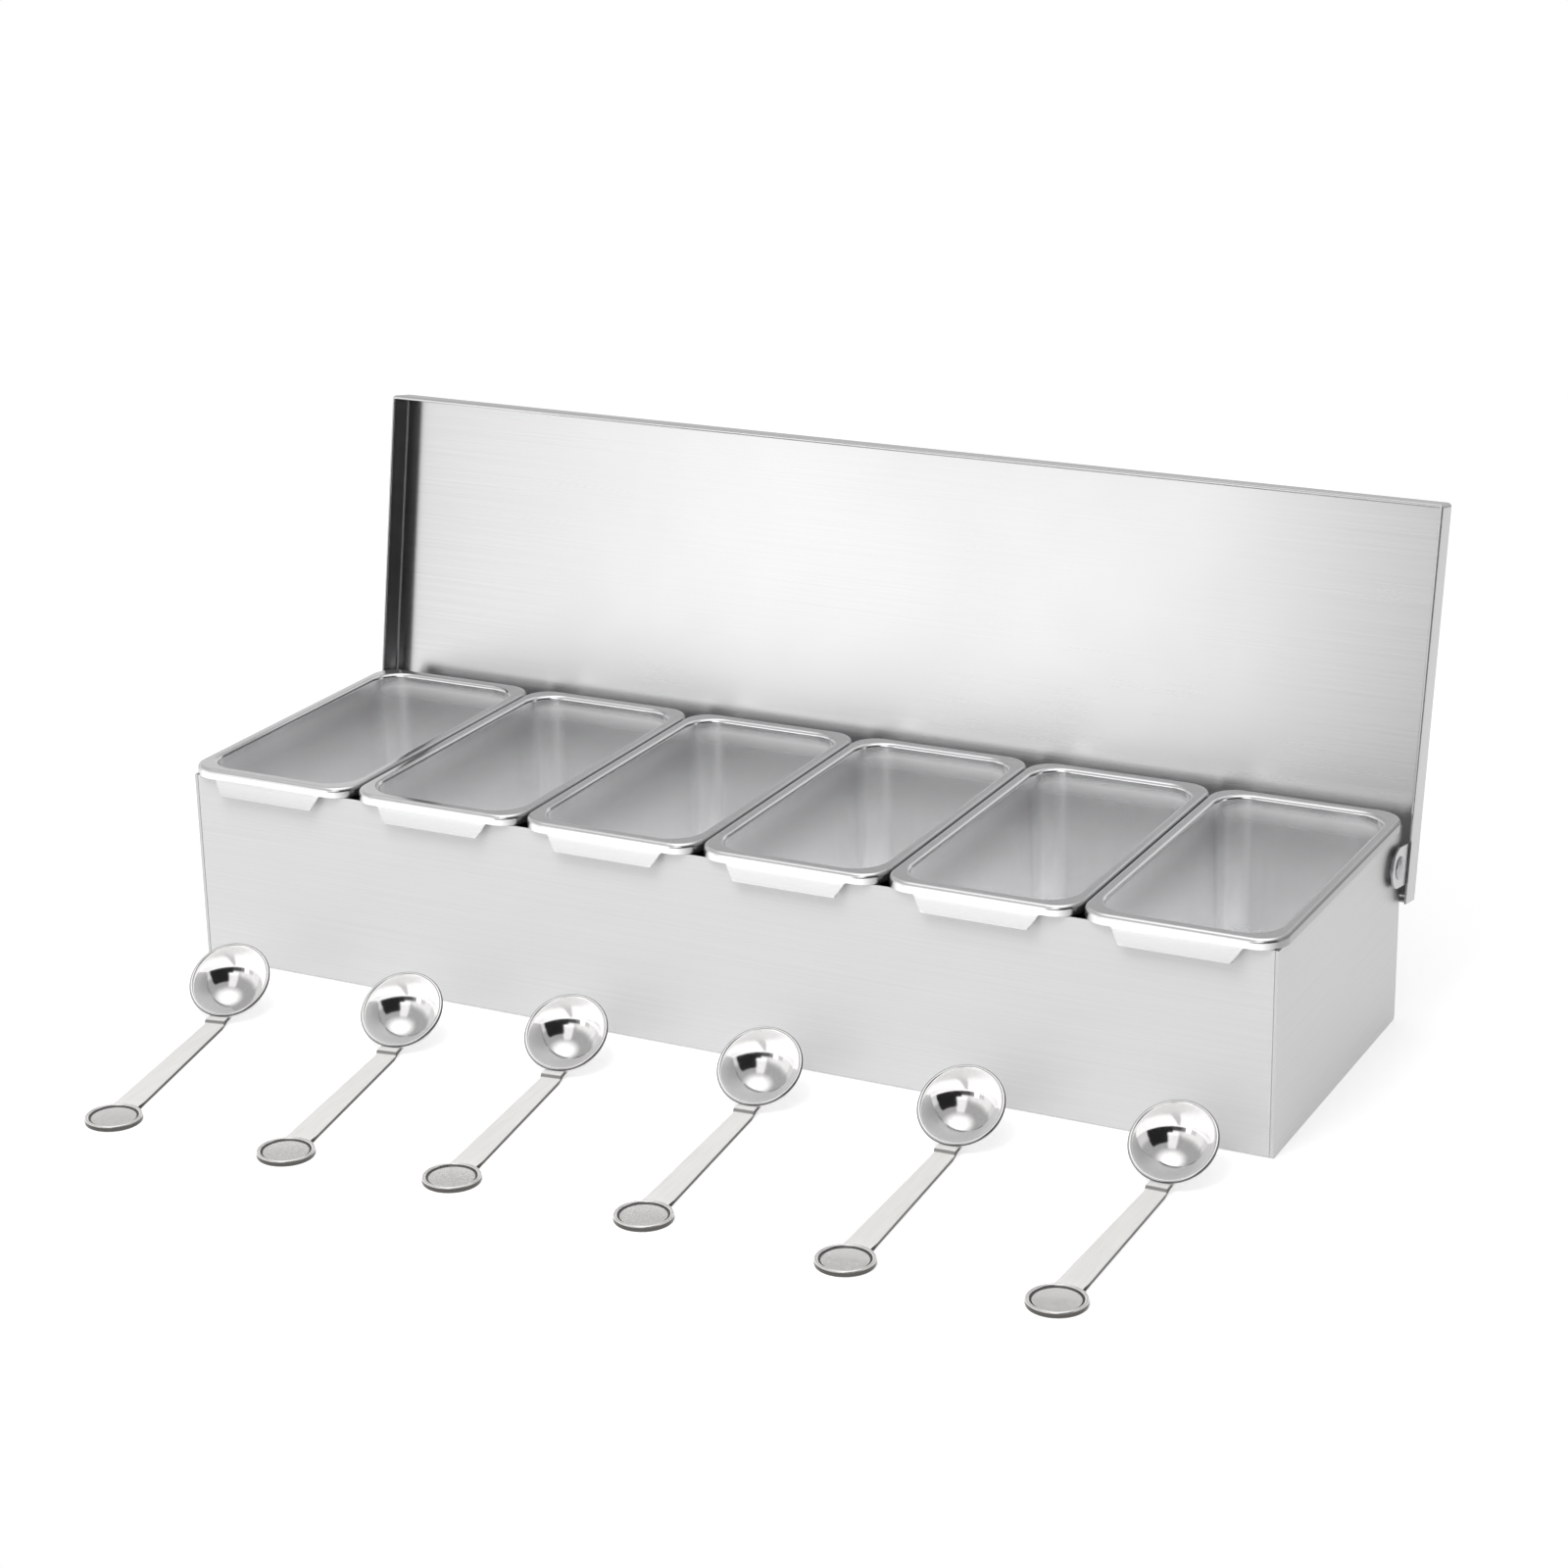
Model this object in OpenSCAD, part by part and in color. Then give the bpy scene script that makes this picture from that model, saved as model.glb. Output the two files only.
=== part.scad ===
// Bar garnish tray: a folded steel case that holds six lift-out pans, with a
// hinged lid that stands open behind them and six loose spoons in front.
// Millimetres, +Z up. The origin is on the underside of the case, at its middle.
// +X runs to the right along the front, and -Y faces the person who uses it.

/* [Case] */
// Outside width of the case
case_w = 540; // [480:5:620]
// Outside depth of the case, front wall to rear wall
case_d = 164; // [150:1:190]
// Height of the case walls
case_h = 93.8; // [86:0.1:116]
// Sheet that the front wall, floor and rear wall are folded from
case_sheet = 1; // [0.8:0.1:1.4]
// Thickness of the two end plates
end_sheet = 1.5; // [1.2:0.1:2]
// Outside radius of the two folds along the floor
fold_r = 2; // [1.6:0.1:4]

/* [Pans] */
// Depth of a pan, from the top of its rim to its underside
pan_depth = 82; // [60:1:88]
// Sheet that a pan is drawn from
pan_sheet = 0.8; // [0.6:0.1:1]
// Width of the rim along the sides of a pan
rim_side_w = 6; // [5.5:0.1:8]
// Width of the rim at the front and rear of a pan
rim_end_w = 6.8; // [6:0.1:9]
// How far the rims stand out past the end plates
rim_side_over = 1.7; // [1.5:0.1:2.4]
// How far the rims stand out past the front and rear walls
rim_end_over = 3.5; // [2.5:0.1:4.5]
// Height of the turned-down edge around the rim
skirt_h = 4.7; // [3.5:0.1:6]
// Outside radius where the rim turns down
rim_edge_r = 2; // [1.4:0.1:2.4]
// Radius where the rim rolls into the mouth
mouth_r = 2; // [1.4:0.1:3]
// Corner radius of the mouth, seen from above
mouth_corner_r = 15; // [13:0.5:20]
// Corner radius of the rim's outer edge, seen from above
rim_corner_r = 13; // [8:0.5:14]
// Radius between the walls and the floor of a pan
pan_floor_r = 8; // [5:0.5:9]
// How much a pan wall leans in between mouth and floor
wall_draft = 3; // [1:0.5:5]

/* [Pull tabs] */
// Width of a tab where it leaves the rim
tab_root_w = 57; // [54:1:62]
// Width of a tab at its free edge
tab_tip_w = 50; // [38:1:54]
// Length of a tab below the turned-down edge
tab_h = 7.4; // [6:0.1:10]
// Angle by which a tab flares away from the case
tab_flare = 17; // [5:1:25]

/* [Lid] */
// Sheet that the lid is folded from
lid_sheet = 0.9; // [0.8:0.1:1.2]
// Depth of the flange around the front and sides of the lid
lid_flange = 14.5; // [12:0.5:16]
// Radius of the lid's front corners
lid_corner_r = 2; // [1:0.2:2]
// Angle by which the open lid leans back past upright
lid_lean = 10; // [5:1:14]
// Width of the hem folded in along the flange
lid_hem = 6; // [4:0.5:8]
// Room between the pull tabs and the front flange of the closed lid
front_clear = 1; // [0.8:0.1:4]
// Room between the rims and the rear flange of the closed lid
rear_clear = 2.6; // [2:0.1:5]

/* [Hinge] */
// Distance of the pivot in front of the rear wall
pivot_in = 11.5; // [10:0.5:14]
// Distance of the pivot below the top of the rims
pivot_down = 20.8; // [18:0.2:26]
// Radius of the rivet shank
rivet_r = 2.5; // [2:0.1:3]
// Radius of the rivet heads
rivet_head_r = 5.5; // [4.5:0.1:6.5]
// Height of the outer rivet head
rivet_head_h = 1.6; // [1.2:0.1:2.4]
// Thickness of the rivet head inside the case
rivet_tail_h = 1.2; // [0.8:0.1:1.6]
// Radius of the round end of a hinge lug
lug_r = 9.5; // [7.5:0.25:10]
// Thickness of a hinge lug
lug_t = 1.1; // [0.9:0.1:1.6]

/* [Spoons] */
// Radius of the bowl at its rim
bowl_r = 18; // [16:0.25:20]
// Depth of the bowl
bowl_depth = 14.3; // [12:0.1:15.5]
// Sheet that the bowl is pressed from
bowl_sheet = 0.9; // [0.7:0.1:1.2]
// Radius of the bead around the bowl
bead_r = 0.9; // [0.7:0.1:1.2]
// Angle by which the bowl tips towards the handle
bowl_tilt = 39; // [30:1:42]
// Distance from the middle of the bowl to the middle of the end disc
spoon_len = 120.5; // [100:0.5:150]
// Thickness of the handle
handle_t = 2; // [1.5:0.1:2.5]
// Width of the handle at the bowl
neck_w = 9.5; // [7:0.5:11]
// Width of the handle at the end disc
handle_w = 13; // [11:0.5:16]
// Length of the raised neck between the bowl and the flat of the handle
neck_len = 7.3; // [6:0.1:14]
// Length of the level ledge at the bowl end of the neck
ledge_len = 4.4; // [2:0.1:5]
// Radius of the end disc
disc_r = 12.5; // [11:0.5:18]
// Height of the raised ring around the end disc
disc_ring_h = 2.8; // [2.6:0.1:3.4]
// Width of the raised ring
disc_ring_w = 1.6; // [1:0.1:2.5]
// Thickness of the end disc inside its ring
disc_t = 1.7; // [1.3:0.1:2]

/* [Hidden] */

// Clearances
weld_gap = 0.1;      // between sheets that are welded together
seat_gap = 0.3;      // between a pan's turned-down edge and the walls that carry it
pan_gap = 0.4;       // between the rims of neighbouring pans
run_gap = 0.1;       // along the pivot, beside the turning lugs
bore_gap = 0.05;     // radial, around the rivet shanks
lug_clear = 0.3;     // between the lugs and the rims that they pass
hem_end_gap = 1;     // between a lug and the end of the hem
swing_clear = 0.4;   // between the swinging lid and the rims
stop_gap = 0.3;      // between the rear flange and the wall that stops it
eps = 0.01;          // overlap that joins or cuts cleanly

// Where things are
pan_count = 6;
rim_top = case_h + seat_gap + skirt_h;
pan_pitch = (case_w + 2 * rim_side_over + pan_gap) / pan_count;
rim_half_w = (pan_pitch - pan_gap) / 2;
rim_half_l = case_d / 2 + rim_end_over;
mouth_half_w = rim_half_w - rim_side_w;
mouth_half_l = rim_half_l - rim_end_w;
tab_reach = tab_h * sin(tab_flare) + pan_sheet;

pivot_y = case_d / 2 - pivot_in;
pivot_z = rim_top - pivot_down;
lug_in = case_w / 2 + rim_side_over + lug_clear;
lug_out = lug_in + lug_t;
lid_half_w = lug_out + weld_gap + lid_sheet;
rim_edge_y = rim_half_l - rim_edge_r;
rim_edge_z = rim_top - rim_edge_r;
lid_in = norm([rim_edge_y - pivot_y, rim_edge_z - pivot_z]) + rim_edge_r + swing_clear;
lid_out = lid_in + lid_sheet;
flange_tip = lid_out - lid_flange;
lid_rear = rim_half_l - pivot_y + rear_clear + lid_sheet;
lid_front = rim_half_l + pivot_y + tab_reach + front_clear + 2 * lid_sheet;
lid_corner_len = max(lid_corner_r, 2 * lid_sheet);
rear_lip_tip = (case_d / 2 + stop_gap - pivot_y + lid_rear * sin(lid_lean)) / cos(lid_lean);

bowl_sphere_r = (bowl_r * bowl_r + bowl_depth * bowl_depth) / (2 * bowl_depth);
bowl_drop = bowl_sphere_r - bowl_depth;
bowl_mid_z = bowl_sphere_r + bowl_sheet;
rim_low_s = bowl_r * cos(bowl_tilt) - bowl_drop * sin(bowl_tilt);
rim_low_z = bowl_mid_z - bowl_drop * cos(bowl_tilt) - bowl_r * sin(bowl_tilt);
neck_top_z = rim_low_z - bead_r - weld_gap;

// Places of the six spoons: x and y under the middle of the bowl, and the
// angle by which the handle turns away from straight forward
spoon_places = [[-220, -135.5, 11], [-128, -132, 9], [-47, -123.5, 7.3],
                [48.3, -120.5, 4.7], [144.2, -121, 2.5], [238, -117, 0]];

round_fn = 96;       // smoothness of the round parts
arc_steps = 5;       // straight steps in a drawn bend

steel = [0.78, 0.78, 0.79];
bright_steel = [0.9, 0.9, 0.9];
satin_steel = [0.83, 0.82, 0.8];

// Points of an arc about c, from angle a0 to angle a1
function arc(c, r, a0, a1, n) = [for (i = [0 : n]) c + r * [cos(a0 + (a1 - a0) * i / n), sin(a0 + (a1 - a0) * i / n)]];

// Flat plate outline with rounded corners, centred
module round_rect(w, h, r) {
  square([w - 2 * r, h], center = true);
  square([w, h - 2 * r], center = true);
  for (sx = [-1, 1], sy = [-1, 1])
    translate([sx * (w / 2 - r), sy * (h / 2 - r)]) circle(r = r, $fn = round_fn);
}

// Block with rounded corners whose edge follows a profile. Each profile point
// is [distance out from the nominal side, height], from the top to the bottom.
module profiled_block(half_w, half_l, corner_r, edge) {
  top_z = edge[0][1];
  low_z = edge[len(edge) - 1][1];
  for (turn = [0 : 3])
    translate([(turn % 3 == 0 ? 1 : -1) * (half_w - corner_r), (turn < 2 ? 1 : -1) * (half_l - corner_r), 0])
      rotate([0, 0, 90 * turn])
        rotate_extrude(angle = 90, $fn = round_fn)
          polygon(concat([[0, top_z]], [for (p = edge) [corner_r + p[0], p[1]]], [[0, low_z]]));
  rotate([90, 0, 0])
    linear_extrude(height = 2 * (half_l - corner_r), center = true)
      polygon(both_sides(edge, half_w));
  rotate([90, 0, 90])
    linear_extrude(height = 2 * (half_w - corner_r), center = true)
      polygon(both_sides(edge, half_l));
}

// The edge profile at +half, then mirrored at -half, as one closed outline
function both_sides(edge, half) =
  concat([for (p = edge) [half + p[0], p[1]]],
         [for (i = [len(edge) - 1 : -1 : 0]) [-half - edge[i][0], edge[i][1]]]);

// Edge of the hollow of a pan, or with grow set to the sheet, of its outside
function cup_edge(grow) =
  let (lean = atan(wall_draft / (pan_depth - mouth_r)), low = -pan_depth + pan_sheet - grow,
       r_floor = pan_floor_r - pan_sheet + grow)
  concat([[mouth_r, grow > 0 ? -grow : pan_sheet]],
         arc([mouth_r, -mouth_r], mouth_r - grow, 90, 180, arc_steps),
         arc([grow - wall_draft * (1 - pan_floor_r / pan_depth) - r_floor, low + r_floor],
             r_floor, -lean, -90, arc_steps));

// Edge of the rim, whose top turns down at the outside into a short skirt
function rim_edge(inset) =
  concat(arc([-rim_edge_r, -rim_edge_r], rim_edge_r - inset, 90, 0, arc_steps),
         [[-inset, -skirt_h - (inset > 0 ? eps : 0)]]);

// One drawn pan, rim top at height 0
module pan_body() {
  difference() {
    union() {
      profiled_block(mouth_half_w, mouth_half_l, mouth_corner_r, cup_edge(pan_sheet));
      difference() {
        profiled_block(rim_half_w, rim_half_l, rim_corner_r, rim_edge(0));
        profiled_block(rim_half_w, rim_half_l, rim_corner_r, rim_edge(pan_sheet));
      }
    }
    profiled_block(mouth_half_w, mouth_half_l, mouth_corner_r, cup_edge(0));
  }
}

// Pull tab that hangs from the front skirt of a pan and flares outwards
module pull_tab() {
  translate([0, -rim_half_l, -skirt_h + eps])
    rotate([90 - tab_flare, 0, 0])
      translate([0, 0, -pan_sheet])
        linear_extrude(height = pan_sheet)
          polygon([[-tab_root_w / 2, pan_sheet], [-tab_root_w / 2, 0], [-tab_tip_w / 2, -tab_h],
                   [tab_tip_w / 2, -tab_h], [tab_root_w / 2, 0], [tab_root_w / 2, pan_sheet]]);
}

module pan(k) {
  color(steel)
    translate([(k - (pan_count + 1) / 2) * pan_pitch, 0, rim_top]) {
      pan_body();
      pull_tab();
    }
}

// Front wall, floor and rear wall, folded from one sheet
module case_shell() {
  shell_len = case_w - 2 * (end_sheet + weld_gap);
  color(steel)
    rotate([90, 0, 90])
      linear_extrude(height = shell_len, center = true)
        difference() {
          case_outline();
          translate([0, case_sheet + case_h])
            round_rect(case_d - 2 * case_sheet, 2 * case_h, fold_r - case_sheet);
        }
}

// Side view of the case: square at the top, rounded at the two folds
module case_outline() {
  translate([0, case_h / 2]) round_rect(case_d, case_h, fold_r);
  translate([-case_d / 2, fold_r]) square([case_d, case_h - fold_r]);
}

// End plate, drilled for the hinge rivet
module end_plate(side) {
  color(steel)
    difference() {
      translate([side * (case_w - end_sheet) / 2, 0, 0])
        rotate([90, 0, 90])
          linear_extrude(height = end_sheet, center = true) case_outline();
      pivot_bar(side, case_w / 2 - end_sheet - eps, case_w / 2 + eps, rivet_r + bore_gap);
    }
}

// Round bar along the pivot, between two distances from the middle of the case
module pivot_bar(side, x0, x1, r) {
  translate([side * (x0 + x1) / 2, pivot_y, pivot_z])
    rotate([0, 90, 0]) cylinder(r = r, h = x1 - x0, center = true, $fn = round_fn);
}

// Spacer that holds a lug clear of the end plate
module spacer(side) {
  color(bright_steel)
    difference() {
      pivot_bar(side, case_w / 2 + weld_gap, lug_in - run_gap, rivet_head_r);
      pivot_bar(side, case_w / 2, lug_in, rivet_r + bore_gap);
    }
}

// Hinge rivet: domed head outside, shank, and the flat head formed inside
module pivot_rivet(side) {
  tail_x = case_w / 2 - end_sheet - weld_gap;
  head_x = lug_out + run_gap;
  head_ball_r = (rivet_head_r * rivet_head_r + rivet_head_h * rivet_head_h) / (2 * rivet_head_h);
  dome_angle = asin(rivet_head_r / head_ball_r);
  color(bright_steel)
    translate([0, pivot_y, pivot_z])
      rotate([0, side * 90, 0])
        rotate_extrude($fn = round_fn)
          polygon(concat([[0, tail_x - rivet_tail_h], [rivet_head_r, tail_x - rivet_tail_h],
                          [rivet_head_r, tail_x], [rivet_r, tail_x], [rivet_r, head_x]],
                         arc([0, head_x + rivet_head_h - head_ball_r], head_ball_r,
                             90 - dome_angle, 90, arc_steps)));
}

// Turns a piece of the upright lid, drawn with the pivot at the origin, to the open pose
module on_open_lid() {
  translate([0, pivot_y, pivot_z]) rotate([-lid_lean, 0, 0]) children();
}

// Outline of the lid, drawn in by an inset: round front corners, square rear ones
module lid_outline(inset) {
  half_w = lid_half_w - inset;
  front = lid_front - inset;
  r = max(lid_corner_r - inset, eps);
  translate([-half_w, -lid_rear]) square([2 * half_w, front - r + lid_rear]);
  translate([r - half_w, -lid_rear]) square([2 * (half_w - r), front + lid_rear]);
  for (sx = [-1, 1]) translate([sx * (half_w - r), front - r]) circle(r = r, $fn = round_fn);
}

// Slab between two distances from the pivot, with the flat shape given by the children
module lid_slab(y0, y1) {
  translate([0, y1, 0]) rotate([90, 0, 0]) linear_extrude(height = y1 - y0) children();
}

// Panel of the lid. Its flanges are folded from the same sheet and meet it face to face.
module lid_panel() {
  color(steel) on_open_lid() lid_slab(lid_in, lid_out) lid_outline(0);
}

// Front flange, with the round corners and a hem folded in along its edge
module lid_flange_front() {
  color(steel)
    on_open_lid()
      intersection() {
        union() {
          lid_slab(flange_tip, lid_in) lid_border(lid_sheet);
          lid_slab(flange_tip, flange_tip + lid_hem) lid_border(2 * lid_sheet);
        }
        translate([-lid_half_w, flange_tip, lid_front - lid_corner_len])
          cube([2 * lid_half_w, lid_flange, lid_corner_len]);
      }
}

// Strip of a given width along the front and the sides of the lid
module lid_border(border_w) {
  difference() {
    lid_outline(0);
    lid_outline(border_w);
  }
}

// Side flange. Its hem stops short of the hinge lug.
module lid_flange_side(side) {
  flange_end = lid_front - lid_corner_len;
  hem_start = lug_r + hem_end_gap;
  color(steel)
    on_open_lid() {
      side_strip(side, lid_sheet, flange_tip, lid_in, -lid_rear, flange_end);
      side_strip(side, 2 * lid_sheet, flange_tip, flange_tip + lid_hem, hem_start, flange_end);
    }
}

// Strip along one side of the lid, between two distances from the pivot and two heights
module side_strip(side, strip_w, y0, y1, z0, z1) {
  translate([side * (lid_half_w - strip_w / 2) - strip_w / 2, y0, z0]) cube([strip_w, y1 - y0, z1 - z0]);
}

// Rear flange: the short one, whose edge meets the rear wall when the lid is open
module lid_flange_rear() {
  half_w = lid_half_w - lid_sheet - weld_gap;
  color(steel)
    on_open_lid()
      translate([-half_w, rear_lip_tip, -lid_rear]) cube([2 * half_w, lid_in - rear_lip_tip, lid_sheet]);
}

// Lug that is welded inside a side flange of the lid and turns on the rivet
module hinge_lug(side) {
  lug_reach = lid_in - lid_sheet;
  color(steel)
    difference() {
      on_open_lid()
        translate([side * (lug_in + lug_out) / 2, 0, 0])
          rotate([90, 0, 90])
            linear_extrude(height = lug_t, center = true) {
              circle(r = lug_r, $fn = round_fn);
              translate([0, -lug_r]) square([lug_reach, 2 * lug_r]);
            }
      pivot_bar(side, lug_in - eps, lug_out + eps, rivet_r + bore_gap);
    }
}

// Puts a spoon, drawn with its bowl at the origin and its handle towards -Y, in its place
module at_spoon(k) {
  place = spoon_places[k - 1];
  translate([place[0], place[1], 0]) rotate([0, 0, place[2]]) children();
}

// Bowl of a spoon: a beaded cap of a sphere, tipped towards the handle
module spoon_bowl(k) {
  cut = 2 * bowl_mid_z;
  color(bright_steel)
    at_spoon(k)
      translate([0, 0, bowl_mid_z])
        rotate([bowl_tilt, 0, 0]) {
          difference() {
            sphere(r = bowl_sphere_r + bowl_sheet, $fn = round_fn);
            sphere(r = bowl_sphere_r, $fn = round_fn);
            translate([0, 0, cut / 2 - bowl_drop]) cube([2 * cut, 2 * cut, cut], center = true);
          }
          translate([0, 0, -bowl_drop])
            rotate_extrude($fn = round_fn)
              translate([bowl_r + bowl_sheet / 2, 0]) circle(r = bead_r, $fn = 24);
        }
}

// Handle of a spoon: a tapered strap that lies flat, steps up to a ledge under the
// bowl, and ends in a round disc with a raised ring
module spoon_handle(k) {
  ledge_end = rim_low_s + ledge_len;
  neck_end = rim_low_s + neck_len;
  disc_start = spoon_len - disc_r + disc_ring_w / 2;
  color(satin_steel)
    at_spoon(k) {
      difference() {
        intersection() {
          rotate([90, 0, -90])
            linear_extrude(height = 2 * handle_w, center = true)
              polygon([[0, neck_top_z - handle_t], [ledge_end, neck_top_z - handle_t],
                       [neck_end, 0], [disc_start, 0], [disc_start, handle_t],
                       [neck_end, handle_t], [ledge_end, neck_top_z], [0, neck_top_z]]);
          linear_extrude(height = handle_t + rim_low_z)
            polygon([[-neck_w / 2, 0], [neck_w / 2, 0], [neck_w / 2, -rim_low_s],
                     [handle_w / 2, -spoon_len], [-handle_w / 2, -spoon_len], [-neck_w / 2, -rim_low_s]]);
        }
        translate([0, 0, bowl_mid_z])
          sphere(r = bowl_sphere_r + bowl_sheet + weld_gap, $fn = round_fn);
      }
      translate([0, -spoon_len, 0])
        difference() {
          cylinder(r = disc_r, h = disc_ring_h, $fn = round_fn);
          translate([0, 0, disc_t])
            cylinder(r = disc_r - disc_ring_w, h = disc_ring_h, $fn = round_fn);
        }
    }
}

case_shell();
end_plate(-1);  // end_plate_left
end_plate(1);  // end_plate_right
spacer(-1);  // spacer_left
spacer(1);  // spacer_right
pivot_rivet(-1);  // pivot_rivet_left
pivot_rivet(1);  // pivot_rivet_right
lid_panel();
lid_flange_front();
lid_flange_rear();
lid_flange_side(-1);  // lid_flange_left
lid_flange_side(1);  // lid_flange_right
hinge_lug(-1);  // hinge_lug_left
hinge_lug(1);  // hinge_lug_right
pan(1);  // pan_1
pan(2);  // pan_2
pan(3);  // pan_3
pan(4);  // pan_4
pan(5);  // pan_5
pan(6);  // pan_6
spoon_bowl(1);  // spoon_bowl_1
spoon_bowl(2);  // spoon_bowl_2
spoon_bowl(3);  // spoon_bowl_3
spoon_bowl(4);  // spoon_bowl_4
spoon_bowl(5);  // spoon_bowl_5
spoon_bowl(6);  // spoon_bowl_6
spoon_handle(1);  // spoon_handle_1
spoon_handle(2);  // spoon_handle_2
spoon_handle(3);  // spoon_handle_3
spoon_handle(4);  // spoon_handle_4
spoon_handle(5);  // spoon_handle_5
spoon_handle(6);  // spoon_handle_6
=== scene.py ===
import math

import bmesh
import bpy
from mathutils import Matrix, Vector


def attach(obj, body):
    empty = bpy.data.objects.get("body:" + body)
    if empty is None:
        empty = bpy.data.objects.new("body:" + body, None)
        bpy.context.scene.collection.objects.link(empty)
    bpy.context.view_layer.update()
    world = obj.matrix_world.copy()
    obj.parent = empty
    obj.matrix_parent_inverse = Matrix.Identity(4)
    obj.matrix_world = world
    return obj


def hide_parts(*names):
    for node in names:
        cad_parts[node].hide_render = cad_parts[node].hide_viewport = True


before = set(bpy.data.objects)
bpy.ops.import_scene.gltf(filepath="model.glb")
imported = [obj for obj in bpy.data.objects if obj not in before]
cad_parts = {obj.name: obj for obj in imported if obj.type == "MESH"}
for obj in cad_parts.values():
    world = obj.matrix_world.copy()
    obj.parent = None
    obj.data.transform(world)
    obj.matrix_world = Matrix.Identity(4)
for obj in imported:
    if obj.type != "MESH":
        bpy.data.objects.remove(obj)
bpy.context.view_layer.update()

MM = 0.001

# Camera of the photograph
CAMERA_AT = Vector((0.7077, -1.3683, 0.6433))
CAMERA_AZ = math.radians(27.29)
CAMERA_EL = math.radians(19.39)
CAMERA_ROLL = math.radians(-1.09)
CAMERA_LENS = 81.55
CAMERA_SENSOR = 36.0
CAMERA_REACH = 100.0

# Sizes in millimetres, as in the part's source, with a few bends that only the scene has.
# The lid's sheet is a trace thinner than there, so that it stays inside the solid.
CASE_HALF_W = 270.0
CASE_HALF_D = 82.0
CASE_H = 93.8
CASE_SHEET = 1.0
END_SHEET = 1.5
FOLD_R = 2.0
WELD_GAP = 0.1

PAN_PITCH = 90.633
RIM_TOP = 98.8
PAN_SHEET = 0.8
PAN_DEPTH = 82.0
RIM_HALF_W = 45.117
RIM_HALF_L = 85.5
RIM_CORNER_R = 13.0
RIM_EDGE_R = 2.0
SKIRT_H = 4.7
MOUTH_HALF_W = 39.117
MOUTH_HALF_L = 78.7
MOUTH_CORNER_R = 15.0
MOUTH_R = 2.0
PAN_FLOOR_R = 8.0
WALL_DRAFT = 3.0
TAB_ROOT_HALF = 28.5
TAB_TIP_HALF = 25.0
TAB_H = 7.4
TAB_FLARE = math.radians(17)
TAB_BEND_R = 1.5

PIVOT_Y = 70.5
PIVOT_Z = 78.0
LID_LEAN = math.radians(10)
LID_HALF_W = 274.1
LID_FRONT = 161.76
LID_REAR = 18.5
LID_OUT = 26.157
LID_TIP = 11.657
LID_LIP_TIP = 15.244
LID_SHEET = 0.86
LID_CORNER_R = 2.0
LID_BEND_R = 1.8
LID_HEM = 6.0
HEM_START = 10.5

LUG_OUT = 273.1
RIVET_HEAD_R = 5.5
RIVET_HEAD_H = 1.6
RIVET_R = 2.5
RIVET_TAIL_H = 1.2

BOWL_R = 18.0
BOWL_DEPTH = 14.3
BOWL_SHEET = 0.9
BEAD_R = 0.9
BOWL_TILT = math.radians(39)
SPOON_LEN = 120.5
HANDLE_T = 2.0
NECK_W = 9.5
HANDLE_W = 13.0
NECK_TOP_Z = 3.8
NECK_START = 11.36
NECK_LEN = 7.3
LEDGE_LEN = 4.4
STEP_LEN = 1.0
DISC_R = 12.5
DISC_T = 1.7
DISC_RING_H = 2.8
DISC_RING_W = 1.6

# Each spoon's bowl on the floor (x, y), and its turn in degrees
SPOON_PLACES = [
    (-220, -135.5, 11), (-128, -132, 9), (-47, -123.5, 7.3),
    (48.3, -120.5, 4.7), (144.2, -121, 2.5), (238, -117, 0),
]

# How wide the edges of each kind of piece are broken, in millimetres
CASE_BREAK = 0.28
END_BREAK = 0.32
PAN_BREAK = 0.16
LID_BREAK = 0.14
LUG_BREAK = 0.22
SPACER_BREAK = 0.15
RIVET_BREAK = 0.12


# Mesh helpers


SHARP_ANGLE = math.radians(40)      # edges sharper than this are broken
FLAT_ANGLE = math.radians(0.5)      # triangles flatter than this are joined
SAME_POINT = 1e-6
NORMAL_WEIGHT = 80
END_GRAIN = 0.9                     # a normal that is this far along the grain is a cut end


def arc(cx, cy, r, start, end, steps):
    """Points of an arc, angles in degrees."""
    turn = [math.radians(start + (end - start) * i / steps) for i in range(steps + 1)]
    return [(cx + r * math.cos(a), cy + r * math.sin(a)) for a in turn]


def spread(start, end, steps):
    return [start + (end - start) * i / steps for i in range(steps + 1)]


def new_object(name, data):
    obj = bpy.data.objects.new(name, data)
    bpy.context.scene.collection.objects.link(obj)
    return obj


def add_piece(name, verts, faces, body, slot, material, nodes):
    """A piece from vertices in millimetres. It rides on a body and stands for some nodes.
    The spoons don't show in reflections, as they don't in the photograph."""
    mesh = bpy.data.meshes.new(name)
    mesh.from_pydata([Vector(v) * MM for v in verts], [], faces)
    mesh.validate()
    mesh.shade_smooth()
    mesh.materials.append(material)
    piece = new_object(name, mesh)
    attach(piece, body)
    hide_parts(*nodes)
    piece.visible_glossy = not body.startswith("spoon")
    return piece


def node_copy(name, node, width, body, material):
    """A CAD node's own shape, with its sharp edges rounded a little."""
    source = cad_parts[node]
    mesh = source.data.copy()
    mesh.name = name
    clean_up(mesh)
    mesh.materials.clear()
    mesh.materials.append(material)
    piece = new_object(name, mesh)
    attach(piece, body)
    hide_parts(node)
    break_edges(piece, width)
    return piece


def clean_up(mesh):
    """Welds the corners of an imported mesh and joins its flat triangles."""
    work = bmesh.new()
    work.from_mesh(mesh)
    bmesh.ops.remove_doubles(work, verts=work.verts, dist=SAME_POINT)
    bmesh.ops.dissolve_limit(
        work, angle_limit=FLAT_ANGLE, verts=work.verts, edges=work.edges)
    for face in work.faces:
        face.smooth = True
    work.to_mesh(mesh)
    work.free()


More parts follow.
